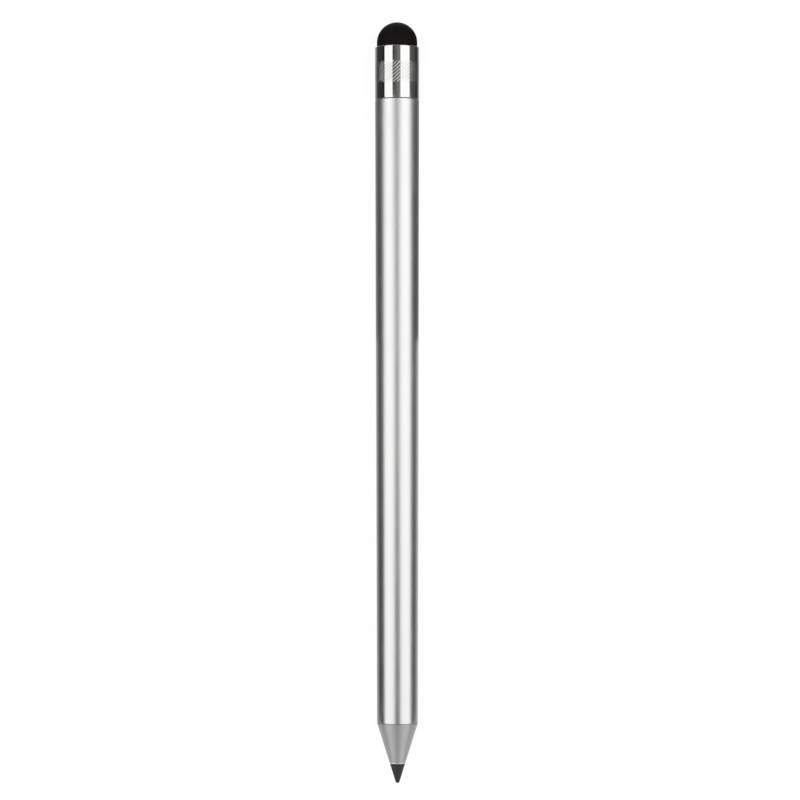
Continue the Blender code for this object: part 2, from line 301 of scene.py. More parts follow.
@dataclass(frozen=True)
class SurfaceEffects:
    """Node groups that the finishes share."""

    grain: NodeTree
    marks: NodeTree
    wear: NodeTree

    FINE_DETAIL: ClassVar[float] = 3.0
    TONE_DETAIL: ClassVar[float] = 2.0
    TONE_SCALE: ClassVar[float] = 0.22
    BLOTCH_DETAIL: ClassVar[float] = 4.0
    BLOTCH_ROUGHNESS: ClassVar[float] = 0.6
    BLOTCH_RANGE: ClassVar[tuple[float, float]] = (0.42, 0.72)
    PATCH_SCALE: ClassVar[float] = 1600.0
    PATCH_DETAIL: ClassVar[float] = 3.0

    @staticmethod
    def start(name: str, inputs: dict[str, float], outputs: tuple[str, ...]) -> tuple[Shading, Node, Node]:
        """Start a group that puts out values.

        Args:
            name: the group's name.
            inputs: the names of its number inputs, and their defaults.
            outputs: the names of its number outputs.

        Returns:
            The group's shading, its input node and its output node.
        """
        tree = bpy.data.node_groups.new(name, "ShaderNodeTree")
        for label, default in inputs.items():
            socket = tree.interface.new_socket(label, in_out="INPUT", socket_type="NodeSocketFloat")
            socket.default_value = default
        for label in outputs:
            tree.interface.new_socket(label, in_out="OUTPUT", socket_type="NodeSocketFloat")
        shading = Shading(tree)
        return shading, shading.add("NodeGroupInput"), shading.add("NodeGroupOutput")

    @classmethod
    def make_grain(cls) -> NodeTree:
        """Make fine marks that may be longer one way than the other.

        Returns:
            A group that puts out the marks' height and a slower tone.
        """
        scales = {"Across": 1000.0, "Along": 1000.0}
        shading, given, made = cls.start("fine_grain", scales, ("Height", "Tone"))
        across, along = given.outputs["Across"], given.outputs["Along"]
        scale = shading.feed(shading.add("CombineXYZ"), X=across, Y=along, Z=across)
        stretch = shading.add("VectorMath", operation="MULTIPLY")
        shading.connect(shading.add("TexCoord").outputs["Object"], stretch.inputs[0])
        shading.connect(scale.outputs["Vector"], stretch.inputs[1])
        place = stretch.outputs["Vector"]
        fine, slow = shading.add("TexNoise"), shading.add("TexNoise")
        shading.feed(fine, Vector=place, Scale=1.0, Detail=cls.FINE_DETAIL)
        shading.feed(slow, Vector=place, Scale=cls.TONE_SCALE, Detail=cls.TONE_DETAIL)
        shading.feed(made, Height=fine.outputs["Fac"], Tone=slow.outputs["Fac"])
        return shading.tree

    @classmethod
    def make_marks(cls) -> NodeTree:
        """Make soft blotches from handling.

        Returns:
            A group that puts out the blotches' mask.
        """
        shading, given, made = cls.start("handling_marks", {"Size": 200.0}, ("Mask",))
        blotch = shading.add("TexNoise")
        shading.feed(blotch, Vector=shading.add("TexCoord").outputs["Object"])
        shading.feed(blotch, Scale=given.outputs["Size"])
        shading.feed(blotch, Detail=cls.BLOTCH_DETAIL, Roughness=cls.BLOTCH_ROUGHNESS)
        low, high = cls.BLOTCH_RANGE
        mask = shading.add("MapRange", interpolation_type="SMOOTHSTEP")
        shading.feed(mask, Value=blotch.outputs["Fac"], From_Min=low, From_Max=high)
        shading.feed(made, Mask=mask.outputs["Result"])
        return shading.tree

    @classmethod
    def make_wear(cls) -> NodeTree:
        """Make rubbed metal at the two ends of a turned piece.

        Returns:
            A group that puts out the rubbed places' broken mask.
        """
        ends = {"First End": 0.0, "Last End": 1.0, "Reach": 0.001}
        shading, given, made = cls.start("end_wear", ends, ("Mask",))
        place = shading.add("TexCoord").outputs["Object"]
        station = shading.feed(shading.add("SeparateXYZ"), Vector=place).outputs["Y"]
        past_first = shading.math("SUBTRACT", station, given.outputs["First End"])
        to_last = shading.math("SUBTRACT", given.outputs["Last End"], station)
        nearest = shading.math("MINIMUM", past_first, to_last)
        patch = shading.add("TexNoise")
        shading.feed(patch, Vector=place, Scale=cls.PATCH_SCALE, Detail=cls.PATCH_DETAIL)
        depth = shading.math("MULTIPLY", given.outputs["Reach"], patch.outputs["Fac"])
        mask = shading.add("MapRange", interpolation_type="SMOOTHSTEP")
        shading.feed(mask, Value=nearest, From_Min=depth, From_Max=0.0, To_Min=0.0, To_Max=1.0)
        shading.feed(made, Mask=mask.outputs["Result"])
        return shading.tree

    @classmethod
    def make(cls) -> SurfaceEffects:
        """Build every group once."""
        return cls(cls.make_grain(), cls.make_marks(), cls.make_wear())


@dataclass(frozen=True)
class Finish:
    """One surface finish, as the looks of a Principled material."""

    name: str
    slot: Slot
    colour: Colour
    tone_colour: Colour
    roughness: float
    grain: Grain
    grain_depth: float
    grain_roughness: float
    mark_roughness: float
    metallic: float = 1.0
    specular: float = 0.5
    worn_colour: Colour | None = None
    worn_reach: float = 0.3 * MM
    mark_size: float = 220.0
    # Painted shade: a darker colour that the piece takes towards its point end, with a smoother surface there.
    painted_front_shade_colour: Colour | None = None
    front_polish: float = 0.0

    def material(self, effects: SurfaceEffects, first_end: float, last_end: float) -> Material:
        """Build the finish for one piece.

        Args:
            effects: the shared node groups.
            first_end: the station of the piece's end towards the point.
            last_end: the station of its end towards the dome.

        Returns:
            A new material.
        """
        material = bpy.data.materials.new(self.name)
        material.use_nodes = True
        shading = Shading(material.node_tree)
        shader = material.node_tree.nodes["Principled BSDF"]
        shading.feed(shader, Metallic=self.metallic, Specular_IOR_Level=self.specular)

        across, along = self.grain.value
        grain = shading.add("Group", node_tree=effects.grain)
        shading.feed(grain, Across=across, Along=along)
        marks = shading.feed(shading.add("Group", node_tree=effects.marks), Size=self.mark_size)

        colour = shading.blend(grain.outputs["Tone"], self.colour, self.tone_colour)
        grain_part = shading.math("MULTIPLY", grain.outputs["Tone"], self.grain_roughness)
        mark_part = shading.math("MULTIPLY", marks.outputs["Mask"], self.mark_roughness)
        uneven = shading.math("ADD", grain_part, mark_part)
        roughness = shading.math("ADD", uneven, self.roughness - self.grain_roughness / 2)

        # Painted shade: the colour darkens along the pen towards the point end, standing in for the dimmer light there;
        # the same ramp lowers the roughness.
        if self.painted_front_shade_colour is not None:
            station = shading.add("SeparateXYZ")
            shading.feed(station, Vector=shading.add("TexCoord").outputs["Object"])
            front_shade_and_polish = shading.add("MapRange")
            shading.feed(front_shade_and_polish, Value=station.outputs["Y"], From_Min=last_end, From_Max=first_end)
            colour = shading.blend(front_shade_and_polish.outputs["Result"], colour, self.painted_front_shade_colour)
            polish = shading.math("MULTIPLY", front_shade_and_polish.outputs["Result"], self.front_polish)
            roughness = shading.math("SUBTRACT", roughness, polish)
        if self.worn_colour is not None:
            wear = shading.add("Group", node_tree=effects.wear)
            shading.feed(wear, First_End=first_end, Last_End=last_end, Reach=self.worn_reach)
            colour = shading.blend(wear.outputs["Mask"], colour, self.worn_colour)
        bump = shading.add("Bump")
        shading.feed(bump, Height=grain.outputs["Height"], Strength=1.0, Distance=self.grain_depth)
        shading.feed(shader, Base_Color=colour, Roughness=roughness, Normal=bump.outputs["Normal"])
        return material


SATIN = Finish(
    name="satin_aluminium",
    slot=Slot.SATIN_ALUMINIUM,
    colour=(0.90, 0.90, 0.895),
    tone_colour=(0.94, 0.94, 0.935),
    roughness=0.385,
    grain=Grain.LENGTHWISE,
    grain_depth=0.0010 * MM,
    grain_roughness=0.05,
    mark_roughness=0.03,
    # Painted shade towards the point end.
    painted_front_shade_colour=(0.775, 0.77, 0.765),
    front_polish=0.085,
)
CHROME = Finish(
    name="chrome",
    slot=Slot.CHROME,
    colour=(0.845, 0.84, 0.83),
    tone_colour=(0.86, 0.853, 0.843),
    roughness=0.05,
    grain=Grain.TURNED,
    grain_depth=0.0002 * MM,
    grain_roughness=0.02,
    mark_roughness=0.04,
)
ENGRAVED = Finish(
    name="engraved_chrome",
    slot=Slot.CHROME,
    colour=(0.80, 0.80, 0.79),
    tone_colour=(0.84, 0.84, 0.83),
    roughness=0.32,
    grain=Grain.MOULDED,
    grain_depth=0.0005 * MM,
    grain_roughness=0.04,
    mark_roughness=0.04,
)
BLASTED = Finish(
    name="matte_aluminium",
    slot=Slot.MATTE_ALUMINIUM,
    colour=(0.375, 0.372, 0.372),
    tone_colour=(0.435, 0.431, 0.431),
    roughness=0.48,
    grain=Grain.BLASTED,
    grain_depth=0.004 * MM,
    grain_roughness=0.06,
    mark_roughness=0.05,
    metallic=0.8,
)
POLISHED_LIP = Finish(
    name="polished_lip",
    slot=Slot.MATTE_ALUMINIUM,
    colour=(0.85, 0.85, 0.85),
    tone_colour=(0.88, 0.88, 0.88),
    roughness=0.4,
    grain=Grain.TURNED,
    grain_depth=0.0005 * MM,
    grain_roughness=0.05,
    mark_roughness=0.03,
)
BRASS = Finish(
    name="brass",
    slot=Slot.BRASS,
    colour=(0.68, 0.49, 0.21),
    tone_colour=(0.74, 0.55, 0.26),
    roughness=0.3,
    grain=Grain.TURNED,
    grain_depth=0.002 * MM,
    grain_roughness=0.1,
    mark_roughness=0.12,
    worn_colour=(0.80, 0.62, 0.32),
)
RUBBER = Finish(
    name="black_rubber",
    slot=Slot.BLACK_RUBBER,
    colour=(0.0050, 0.0041, 0.0038),
    tone_colour=(0.0070, 0.0058, 0.0054),
    roughness=0.62,
    grain=Grain.MOULDED,
    grain_depth=0.004 * MM,
    grain_roughness=0.08,
    mark_roughness=0.06,
    metallic=0.0,
    specular=0.08,
)
DARK_PLASTIC = Finish(
    name="dark_plastic",
    slot=Slot.DARK_PLASTIC,
    colour=(0.024, 0.0245, 0.021),
    tone_colour=(0.030, 0.0305, 0.0265),
    roughness=0.45,
    grain=Grain.MOULDED,
    grain_depth=0.004 * MM,
    grain_roughness=0.1,
    mark_roughness=0.08,
    metallic=0.0,
    specular=0.22,
)
BLACK_PLASTIC = Finish(
    name="black_plastic",
    slot=Slot.BLACK_PLASTIC,
    colour=(0.014, 0.014, 0.015),
    tone_colour=(0.020, 0.020, 0.020),
    roughness=0.48,
    grain=Grain.MOULDED,
    grain_depth=0.004 * MM,
    grain_roughness=0.1,
    mark_roughness=0.08,
    metallic=0.0,
)
WHITE_PLASTIC = Finish(
    name="white_plastic",
    slot=Slot.WHITE_PLASTIC,
    colour=(0.74, 0.73, 0.69),
    tone_colour=(0.78, 0.77, 0.73),
    roughness=0.42,
    grain=Grain.MOULDED,
    grain_depth=0.004 * MM,
    grain_roughness=0.08,
    mark_roughness=0.08,
    metallic=0.0,
)


# Turned shapes


@dataclass(frozen=True)
class Corner:
    """A corner of a turned profile: where it is along the pen, its radius and its rounding."""

    station: float
    radius: float
    rounding: float = 0.0


@dataclass(frozen=True)
class BarrelEnd:
    """One end of the barrel, where a screwed end piece seats across a fine seam.

    At the ferrule, the edges on both sides of the seam slope into it.
    """

    station: float
    outward: float
    seam: float = 0.05 * MM
    slope_depth: float = 0.2 * MM
    slope_length: float = 0.065 * MM

    def at(self, distance: float) -> float:
        """Station of a point this far outside the end, or inside it if negative."""
        return self.station + self.outward * distance

    def rounding(self, centre: float, radius: float, spread: float, steps: int) -> list[Corner]:
        """Lay out the profile of a ball-shaped tip.

        Args:
            centre: how far outside the barrel's end the ball's centre is.
            radius: the ball's radius.
            spread: the angle from the pen's axis that the tip covers.
            steps: how many straights the profile has.

        Returns:
            The corners, from the tip's middle outwards.
        """
        corners = []
        for step in range(steps + 1):
            angle = spread * step / steps
            corners.append(Corner(self.at(centre + radius * math.cos(angle)), radius * math.sin(angle)))
        return corners


@dataclass(frozen=True)
class Lathe:
    """Turns profiles about the pen's axis, with rounded corners and clean shading."""

    steps: int = 160
    rounding_segments: int = 6
    support: float = 0.015 * MM
    long_straight: float = 0.1 * MM
    straight_angle: float = math.radians(1)
    merge_distance: float = 0.0005 * MM
    sharp_angle: float = math.radians(20)

    def turn(self, corners: list[Corner], closed: bool, steps: int | None = None) -> BMesh:
        """Turn a profile through a full circle.

        Args:
            corners: the profile's corners, in order.
            closed: whether the last corner joins the first, as on a tube.
            steps: facets around, where the lathe's own number isn't right.

        Returns:
            A closed surface, whose faces point outwards.
        """
        work = bmesh.new()
        points = [work.verts.new((0.0, c.station, AXIS_HEIGHT + c.radius)) for c in corners]
        for first, second in zip(points, points[1:]):
            work.edges.new((first, second))
        if closed:
            work.edges.new((points[-1], points[0]))
        for point, corner in zip(points, corners):
            if corner.rounding > 0:
                self.round_corner(work, point, corner.rounding)
        self.add_supports(work)
        bmesh.ops.spin(
            work,
            geom=work.verts[:] + work.edges[:],
            cent=AXIS_POINT,
            axis=AXIS,
            angle=FULL_TURN,
            steps=steps or self.steps,
            use_merge=True,
        )
        bmesh.ops.remove_doubles(work, verts=work.verts, dist=self.merge_distance)
        bmesh.ops.recalc_face_normals(work, faces=work.faces)
        return work

    def round_corner(self, work: BMesh, point: BMVert, size: float) -> None:
        """Round one corner of a profile.

        Args:
            work: the profile.
            point: the corner.
            size: how far the rounding reaches from it.
        """
        bmesh.ops.bevel(
            work,
            geom=[point],
            offset=size,
            offset_type="OFFSET",
            segments=self.rounding_segments,
            profile=0.5,
            affect="VERTICES",
            material=-1,
        )

    def add_supports(self, work: BMesh) -> None:
        """Put a point on each long straight close to where it turns, so that its shading stays flat.

        Args:
            work: the profile.
        """
        for edge in list(work.edges):
            length = edge.calc_length()
            if length < self.long_straight:
                continue
            near, far = edge.verts
            if self.is_turn(near):
                point = bmesh.utils.edge_split(edge, near, self.support / length)[1]
                edge = next(part for part in point.link_edges if far in part.verts)
            if self.is_turn(far):
                bmesh.utils.edge_split(edge, far, self.support / edge.calc_length())

    def is_turn(self, point: BMVert) -> bool:
        """Find whether a profile changes direction at one of its points.

        Args:
            point: the point.

        Returns:
            True where it does, and False at the profile's end or on a straight.
        """
        if len(point.link_edges) < 2:
            return False
        first, second = (edge.other_vert(point).co - point.co for edge in point.link_edges)
        return first.angle(-second) > self.straight_angle

    def finish(self, work: BMesh, name: str) -> Mesh:
        """Make a smooth mesh with sharp edges of a worked shape.

        Args:
            work: the shape, which is freed.
            name: the mesh's name.

        Returns:
            The mesh.
        """
        mesh = bpy.data.meshes.new(name)
        work.to_mesh(mesh)
        work.free()
        self.smooth(mesh)
        return mesh

    def smooth(self, mesh: Mesh) -> None:
        """Shade a mesh smooth, and keep its sharp edges."""
        mesh.shade_smooth()
        mesh.set_sharp_from_angle(angle=self.sharp_angle)


@dataclass(frozen=True)
class ScrewThread:
    """The right-hand metric thread of both ends, and the spigot and shank that carry it."""

    major_radius: float = 2.5 * MM
    pitch: float = 0.8 * MM
    turns: int = 5
    crest: float = 0.1 * MM
    depth: float = 0.433 * MM
    flank: float = math.radians(30)
    clearance: float = 0.1 * MM
    lead: float = 0.6 * MM
    fade: float = 0.35
    sink: float = 0.1
    spare_turns: int = 2
    steps: int = 72
    spigot_radius: float = 3.15 * MM
    spigot_length: float = 1.0 * MM
    turned_edge: float = 0.15 * MM

    @property
    def shank_radius(self) -> float:
        """Radius at the root of the male thread."""
        return self.major_radius - self.depth

    @property
    def length(self) -> float:
        """Length of the male thread."""
        return self.turns * self.pitch

    def shank(self, end: BarrelEnd) -> list[Corner]:
        """Lay out the profile of the spigot and shank with which an end piece goes in the barrel.

        Args:
            end: the barrel's end that it goes in.

        Returns:
            The corners, from the seam inwards.
        """
        shank_end = -self.spigot_length - 2 * self.lead - self.length
        return [
            Corner(end.at(end.seam), self.spigot_radius),
            Corner(end.at(-self.spigot_length), self.spigot_radius, self.turned_edge),
            Corner(end.at(-self.spigot_length), self.shank_radius),
            Corner(end.at(shank_end), self.shank_radius, self.turned_edge),
        ]

    def start(self, end: BarrelEnd) -> float:
        """Station of the male thread's end towards the point."""
        near = self.spigot_length + self.lead
        return min(end.at(-near), end.at(-near - self.length))

    def tooth(self, start: float, turns: int, radius: float) -> BMesh:
        """Sweep the thread's tooth along its helix.

        Args:
            start: the station of the helix's first point.
            turns: how many turns the tooth makes.
            radius: the radius of its crest.

        Returns:
            A closed surface.
        """
        work = bmesh.new()
        height = self.depth + self.crest
        half_crest = self.crest / 2
        half_foot = half_crest + height * math.tan(self.flank)
        crest, foot = AXIS_HEIGHT + radius, AXIS_HEIGHT + radius - height
        points = [
            work.verts.new((0.0, start + half_crest, crest)),
            work.verts.new((0.0, start - half_crest, crest)),
            work.verts.new((0.0, start - half_foot, foot)),
            work.verts.new((0.0, start + half_foot, foot)),
        ]
        for first, second in zip(points, points[1:] + points[:1]):
            work.edges.new((first, second))
        bmesh.ops.spin(
            work,
            geom=work.verts[:] + work.edges[:],
            cent=AXIS_POINT,
            axis=AXIS,
            dvec=AXIS * (self.pitch / self.steps),
            angle=FULL_TURN * turns,
            steps=self.steps * turns,
        )
        bmesh.ops.holes_fill(work, edges=work.edges)
        bmesh.ops.recalc_face_normals(work, faces=work.faces)
        return work

    def raised_tooth(self, end: BarrelEnd) -> BMesh:
        """Make the tooth that an end piece carries on its shank.

        Args:
            end: the barrel's end that it screws in.

        Returns:
            A closed surface.
        """
        start = self.start(end)
        work = self.tooth(start, self.turns, self.major_radius)
        self.fade_ends(work, start)
        return work

    def sunk_tooth(self, end: BarrelEnd) -> BMesh:
        """Make the tooth that is cut out of a bush, a little larger than the raised one.

        Args:
            end: the barrel's end that the bush is in.

        Returns:
            A closed surface.
        """
        # Whole turns to spare at both ends keep the two threads in step.
        spare = self.spare_turns
        start = self.start(end) - spare * self.pitch
        return self.tooth(start, self.turns + 2 * spare, self.major_radius + self.clearance)

    def fade_ends(self, work: BMesh, start: float) -> None:
        """Sink the tooth's first and last part of a turn into the shank.

        Args:
            work: the tooth.
            start: the station of its helix's first point.
        """
        for vert in work.verts:
            offset = vert.co - AXIS_POINT
            radius = math.hypot(offset.x, offset.z)
            angle = math.atan2(offset.x, offset.z) / FULL_TURN
            turn = angle + round((offset.y - start) / self.pitch - angle)
            share = min(turn, self.turns - turn) / self.fade
            if share < 1 and radius > self.shank_radius:
                # The very end goes a little below the shank, so that it joins cleanly.
                rise = (radius - self.shank_radius) * ((1 + self.sink) * share - self.sink)
                factor = (self.shank_radius + rise) / radius
                vert.co = AXIS_POINT + Vector((offset.x * factor, offset.y, offset.z * factor))


# Making and placing pieces


@dataclass(frozen=True)
class Workshop:
    """The tools that the sub-assemblies share."""

    lathe: Lathe
    thread: ScrewThread
    effects: SurfaceEffects

    def place(self, mesh: Mesh, finish: Finish, node: str, body: Body) -> Object:
        """Dress a finished mesh and put it in the CAD frame in place of its solid.

        Args:
            mesh: the piece's mesh, in the CAD frame, named as the piece is.
            finish: its surface finish.
            node: the CAD node that it stands for.
            body: the CAD body that it rides on.

        Returns:
            The placed piece.
        """
        stations = [vert.co.y for vert in mesh.vertices]
        mesh.materials.append(finish.material(self.effects, min(stations), max(stations)))
        piece = bpy.data.objects.new(mesh.name, mesh)
        bpy.context.scene.collection.objects.link(piece)
        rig.replaces(piece, node)
        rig.slot(piece, finish.slot.value)
        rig.ride(piece, body.value)
        LOG.info("%s stands for %s: %d faces", piece.name, node, len(mesh.polygons))
        return piece

    def threaded(self, name: str, blank: BMesh, tooth: BMesh, cut: Cut) -> Mesh:
        """Join a thread's tooth to a blank, or cut it out of one.

        Args:
            name: the mesh's name.
            blank: the turned piece.
            tooth: the tooth to join or cut.
            cut: which of the two it is.

        Returns:
            The threaded mesh.
        """
        carrier = bpy.data.objects.new(name + "_blank", self.lathe.finish(blank, name + "_blank"))
        cutter = bpy.data.objects.new(name + "_tooth", self.lathe.finish(tooth, name + "_tooth"))
        for obj in (carrier, cutter):
            bpy.context.scene.collection.objects.link(obj)
        boolean = carrier.modifiers.new("thread", "BOOLEAN")
        boolean.object = cutter
        boolean.operation = cut.value
        boolean.solver = "EXACT"
        graph = bpy.context.evaluated_depsgraph_get()
        mesh = bpy.data.meshes.new_from_object(carrier.evaluated_get(graph))
        mesh.name = name
        for obj in (carrier, cutter):
            bpy.data.objects.remove(obj)
        self.lathe.smooth(mesh)
        return mesh


# Sub-assemblies


@dataclass(frozen=True)
class Barrel:
    """The tapered tube, with a threaded bush pressed in each end."""

    front: BarrelEnd
    rear: BarrelEnd
    front_radius: float = 3.72 * MM
    rear_radius: float = 4.0 * MM
    bore_radius: float = 3.2 * MM
    edge: float = 0.05 * MM
    bush_radius: float = 3.17 * MM
    bush_setback: float = 1.1 * MM
    bush_length: float = 5.0 * MM

    def build(self, shop: Workshop) -> list[Object]:
        """Build and dress the tube and both bushes.

        Args:
            shop: the shared tools.

        Returns:
            The three pieces.
        """
        return [
            self.tube(shop),
            self.bush(shop, self.rear, "rear_bush", "rear_insert"),
            self.bush(shop, self.front, "front_bush", "front_insert"),
        ]

    def tube(self, shop: Workshop) -> Object:
        """Build the tapered wall with its straight bore.

        Args:
            shop: the shared tools.

        Returns:
            The placed tube.
        """
        front, rear = self.front, self.rear
        work = shop.lathe.turn(
            [
                Corner(rear.station, self.rear_radius - rear.slope_depth),
                Corner(rear.at(-rear.slope_length), self.rear_radius, self.edge),
                Corner(front.station, self.front_radius, self.edge),
                Corner(front.station, self.bore_radius, self.edge),
                Corner(rear.station, self.bore_radius, self.edge),
            ],
            closed=True,
        )
        return shop.place(shop.lathe.finish(work, "satin_barrel"), SATIN, "barrel_tube", Body.BARREL)

    def bush(self, shop: Workshop, end: BarrelEnd, name: str, node: str) -> Object:
        """Build one brass bush, with the thread cut through it.

        Args:
            shop: the shared tools.
            end: the barrel's end that it is pressed in.
            name: the piece's name.
            node: the CAD node that it stands for.

        Returns:
            The placed bush.
        """
        thread = shop.thread
        top, bottom = end.at(-self.bush_setback), end.at(-self.bush_setback - self.bush_length)
        bore = thread.shank_radius + thread.clearance
        blank = shop.lathe.turn(
            [
                Corner(top, self.bush_radius, thread.turned_edge),
                Corner(bottom, self.bush_radius, thread.turned_edge),
                Corner(bottom, bore),
                Corner(top, bore),
            ],
            closed=True,
        )
        mesh = shop.threaded(name, blank, thread.sunk_tooth(end), Cut.SUNK)
        return shop.place(mesh, BRASS, node, Body.BARREL)


@dataclass(frozen=True)
class Head:
    """The soft end: a chromed ferrule on a threaded stud, and a plug that carries the dome."""

    end: BarrelEnd
    ferrule_length: float = 9.6 * MM
    ferrule_radius: float = 4.0 * MM
    ferrule_bore: float = 3.7 * MM
    rim_round: float = 0.25 * MM
    band_start: float = 2.88 * MM
    band_end: float = 6.75 * MM
    band_rows: int = 20
    band_margin: float = 0.03 * MM
    band_fade: float = 0.32 * MM
    band_fade_rows: int = 4
    lines: int = 37
    line_columns: int = 8
    line_depth: float = 0.021 * MM
    line_slope: float = math.radians(47)
    stud_length: float = 3.0 * MM
    stud_radius: float = 3.67 * MM
    moulded_edge: float = 0.05 * MM
    plug_radius: float = 3.65 * MM
    plug_flange: float = 0.9 * MM
    post_radius: float = 2.74 * MM
    post_setback: float = 0.65 * MM
    post_edge: float = 0.4 * MM
    groove_radius: float = 2.44 * MM
    bead_rise: float = 1.6 * MM
    bead_height: float = 0.8 * MM
    bead_radius: float = 2.47 * MM
    dome_radius: float = 3.67 * MM
    dome_inner_radius: float = 2.77 * MM
    dome_reach: float = 4.5 * MM
    dome_give: float = 1.0 * MM
    dome_steps: int = 28

    def build(self, shop: Workshop) -> list[Object]:
        """Build and dress the head's four pieces."""
        return [self.ferrule(shop), self.stud(shop), self.plug(shop), self.dome(shop)]

    def ferrule(self, shop: Workshop) -> Object:
        """Build the chromed sleeve, with a band of slanted engraved lines.

        Args:
            shop: the shared tools.

        Returns:
            The placed ferrule.
        """
        end, at = self.end, self.end.at
        fade = [self.band_fade * i / self.band_fade_rows for i in range(self.band_fade_rows)]
        # A plain row just outside each end keeps the lines' shading within the band.
        fade.insert(0, -self.band_margin)
        plain = self.band_end - self.band_start - 2 * self.band_fade
        middle = [self.band_fade + plain * i / self.band_rows for i in range(self.band_rows + 1)]
        rows = [self.band_start + rise for rise in fade + middle]
        rows += [self.band_end - rise for rise in reversed(fade)]
        work = shop.lathe.turn(
            [
                Corner(at(end.seam), self.ferrule_bore),
                Corner(at(end.seam), self.ferrule_radius - end.slope_depth),
                Corner(at(end.seam + end.slope_length), self.ferrule_radius),
                *(Corner(at(row), self.ferrule_radius) for row in rows),
                Corner(at(self.ferrule_length), self.ferrule_radius, self.rim_round),
                Corner(at(self.ferrule_length), self.ferrule_bore),
                *(Corner(at(row), self.ferrule_bore) for row in reversed(rows)),
            ],
            closed=True,
            steps=self.lines * self.line_columns,
        )
        self.engrave(work)
        mesh = shop.lathe.finish(work, "chrome_ferrule")
        ferrule = shop.place(mesh, CHROME, "ferrule", Body.HEAD_SHELL)
        mesh.materials.append(ENGRAVED.material(shop.effects, at(self.band_start), at(self.band_end)))
        return ferrule

    def engrave(self, work: BMesh) -> None:
        """Twist the sleeve's rows along the slanted lines, and press in one narrow column for each.

        Args:
            work: the turned sleeve.
        """
        column = FULL_TURN / (self.lines * self.line_columns)
        mid_wall = (self.ferrule_bore + self.ferrule_radius) / 2
        for vert in work.verts:
            offset = vert.co - AXIS_POINT
            height = self.end.outward * (offset.y - self.end.station)
            radius = math.hypot(offset.x, offset.z)
            angle = math.atan2(offset.x, offset.z)
            rise = min(max(height, self.band_start), self.band_end) - self.band_start
            from_end = min(rise, self.band_end - self.band_start - rise)
            on_line = round(angle / column) % self.line_columns == 0
            if on_line and from_end > 0 and radius > mid_wall:
                radius -= self.line_depth * min(from_end / self.band_fade, 1.0)
                for face in vert.link_faces:
                    face.material_index = 1
            angle += rise * math.tan(self.line_slope) / self.ferrule_radius
            vert.co = AXIS_POINT + Vector((radius * math.sin(angle), offset.y, radius * math.cos(angle)))

    def stud(self, shop: Workshop) -> Object:
        """Build the brass stud pressed in the ferrule, which screws in the barrel.

        Args:
            shop: the shared tools.

        Returns:
            The placed stud.
        """
        at, thread = self.end.at, shop.thread
        shank = thread.shank(self.end)
        blank = shop.lathe.turn(
            [
                Corner(at(self.stud_length), 0.0),
                Corner(at(self.stud_length), self.stud_radius, thread.turned_edge),
                Corner(at(self.end.seam), self.stud_radius),
                *shank,
                Corner(shank[-1].station, 0.0),
            ],
            closed=False,
        )
        mesh = shop.threaded("screw_stud", blank, thread.raised_tooth(self.end), Cut.RAISED)
        return shop.place(mesh, BRASS, "head_stud", Body.HEAD_SHELL)

    def plug(self, shop: Workshop) -> Object:
        """Build the moulded plug, whose grooved post carries the dome.

        Args:
            shop: the shared tools.

        Returns:
            The placed plug.
        """
        at, seam = self.end.at, self.end.seam
        base = self.stud_length + seam
        flange_top = base + self.plug_flange
        post_top = self.ferrule_length - self.post_setback
        groove_bottom = flange_top + self.bead_rise
        groove_top = groove_bottom + self.bead_height + 2 * seam
        work = shop.lathe.turn(
            [
                Corner(at(post_top), 0.0),
                Corner(at(post_top), self.post_radius, self.post_edge),
                Corner(at(groove_top), self.post_radius, self.moulded_edge),
                Corner(at(groove_top), self.groove_radius, self.moulded_edge),
                Corner(at(groove_bottom), self.groove_radius, self.moulded_edge),
                Corner(at(groove_bottom), self.post_radius, self.moulded_edge),
                Corner(at(flange_top), self.post_radius),
                Corner(at(flange_top), self.plug_radius, self.moulded_edge),
                Corner(at(base), self.plug_radius, self.moulded_edge),
                Corner(at(base), 0.0),
            ],
            closed=False,
        )
        return shop.place(shop.lathe.finish(work, "dome_plug"), BLACK_PLASTIC, "tip_plug", Body.HEAD_CORE)

    def dome(self, shop: Workshop) -> Object:
        """Build the hollow rubber dome, which flattens evenly from its held bead to its pressed crown.

        Args:
            shop: the shared tools.

        Returns:
            The placed dome.
        """
        at, seam = self.end.at, self.end.seam
        crown = self.ferrule_length + self.dome_reach
        centre = crown - self.dome_radius
        skirt = self.stud_length + seam + self.plug_flange + seam
        bead = skirt + self.bead_rise
        outer = self.end.rounding(centre, self.dome_radius, QUARTER_TURN, self.dome_steps)
        inner = self.end.rounding(centre, self.dome_inner_radius, QUARTER_TURN, self.dome_steps)
        work = shop.lathe.turn(
            [
                *outer,
                Corner(at(skirt), self.dome_radius, self.moulded_edge),
                Corner(at(skirt), self.dome_inner_radius),
                Corner(at(bead), self.dome_inner_radius),
                Corner(at(bead), self.bead_radius, self.moulded_edge),
                Corner(at(bead + self.bead_height), self.bead_radius, self.moulded_edge),
                Corner(at(bead + self.bead_height), self.dome_inner_radius),
                *reversed(inner),
            ],
            closed=False,
        )
        dome = shop.place(shop.lathe.finish(work, "soft_dome"), RUBBER, "rubber_dome", Body.SOFT_TIP)
        free_length = crown - bead - self.bead_height / 2
        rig.squash(
            dome,
            "dome_press",
            axis=(0.0, 1.0, 0.0),
            anchor=(0.0, at(crown), AXIS_HEIGHT),
            keep=1 - self.dome_give / free_length,
        )
        return dome


